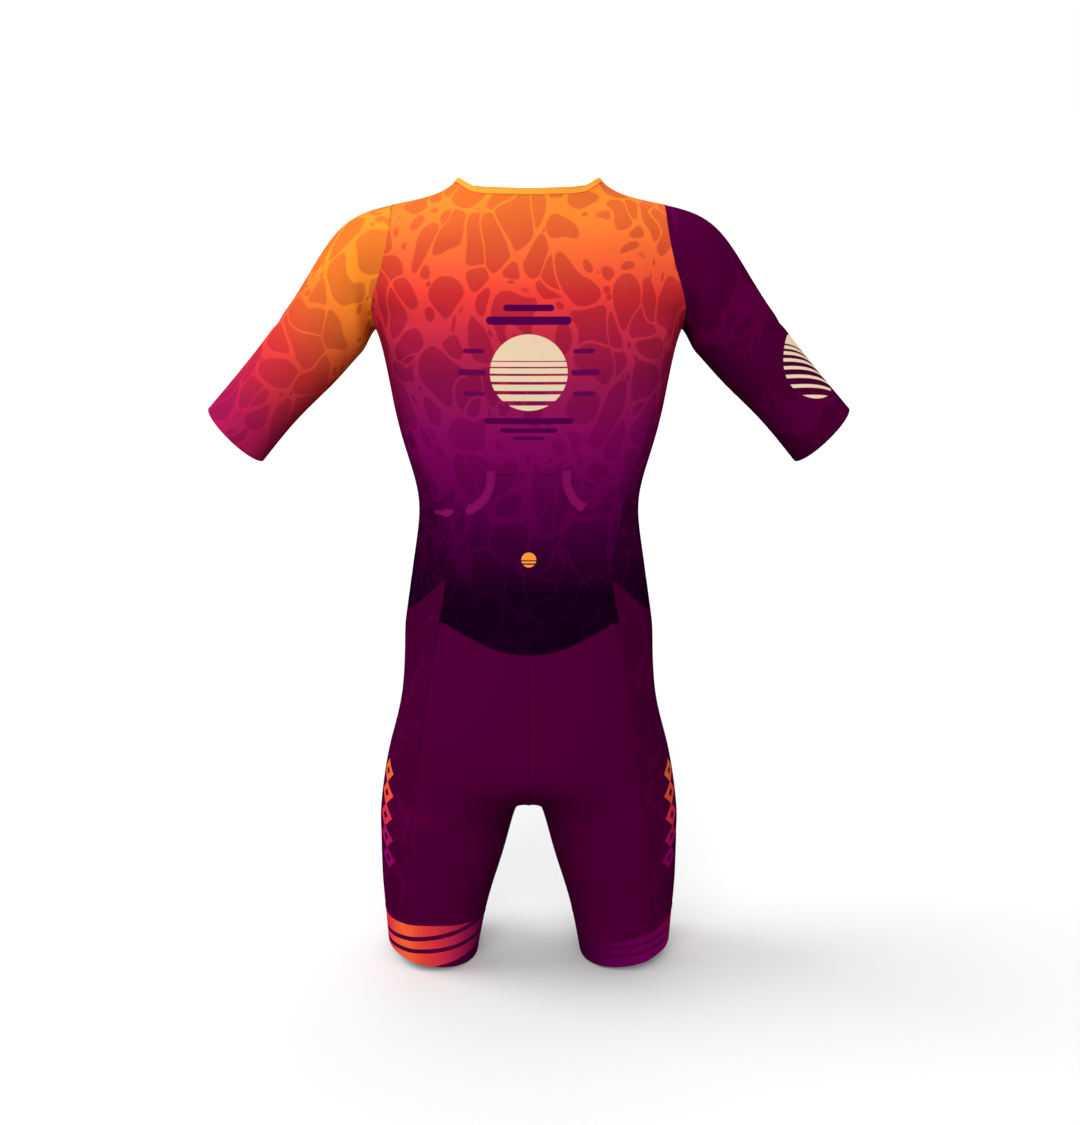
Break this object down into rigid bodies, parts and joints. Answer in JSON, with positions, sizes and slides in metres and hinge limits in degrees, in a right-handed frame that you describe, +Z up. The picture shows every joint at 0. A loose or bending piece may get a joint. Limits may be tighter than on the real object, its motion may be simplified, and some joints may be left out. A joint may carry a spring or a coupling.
{
  "type": "cycling skinsuit, filled out with no wearer",
  "caption": "Short-sleeved one-piece cycling skinsuit with mid-thigh legs, bound neck, front zip, rear pocket and gripper leg bands, in its worn shape.",
  "frame": {"origin": "between the wearer's shoulders, on the centre plane, level with the shoulder points of the armhole seams", "axes": "+Z up along the body, +Y towards the back, +X towards the wearer's left"},
  "size_m": [0.748, 0.2462, 0.9388],
  "materials": {
    "knit_fade": "printed polyester knit, orange fading to dark plum, with a pattern of rounded blobs",
    "knit_side": "printed fine-mesh knit, fading from red to dark plum",
    "knit_sleeve_left": "printed knit, orange fading to magenta at the cuff",
    "knit_sleeve_right": "dark plum printed knit",
    "knit_shorts": "burgundy warp-knit, matt",
    "band_left": "elastic gripper band printed orange to magenta with dark stripes",
    "band_right": "elastic gripper band, plum with dim magenta stripes",
    "binding_orange": "bright orange folded elastic binding",
    "binding_magenta": "magenta folded elastic binding",
    "zip_tape": "dark plum woven tape",
    "zip_plastic": "dark plum nylon coil",
    "zip_metal": "dark lacquered metal"
  },
  "bodies": {
    "suit": {"back_panel": "knit_fade", "front_left": "knit_fade", "front_right": "knit_fade", "side_left": "knit_side", "side_right": "knit_side", "sleeve_left": "knit_sleeve_left", "sleeve_right": "knit_sleeve_right", "neck_binding": "binding_orange", "shorts_back_left": "knit_shorts", "shorts_back_right": "knit_shorts", "shorts_front_left": "knit_shorts", "shorts_front_right": "knit_shorts", "shorts_side_left": "knit_shorts", "shorts_side_right": "knit_shorts", "leg_band_left": "band_left", "leg_band_right": "band_right", "pocket_panel": "knit_fade", "pocket_binding_left": "binding_magenta", "pocket_binding_right": "binding_magenta", "zip_tape_left": "zip_tape", "zip_tape_right": "zip_tape", "zip_coil": "zip_plastic", "zip_slider": "zip_metal"},
    "pull_tab": {"zip_pull_tab": "zip_metal"}
  },
  "joints": [
    {"name": "pull_tab_swing", "type": "hinge", "parent": "suit", "child": "pull_tab", "pos_m": [0, -0.09277, -0.04883], "axis": [-1, 0, 0], "range_deg": [0, 150]}
  ]
}
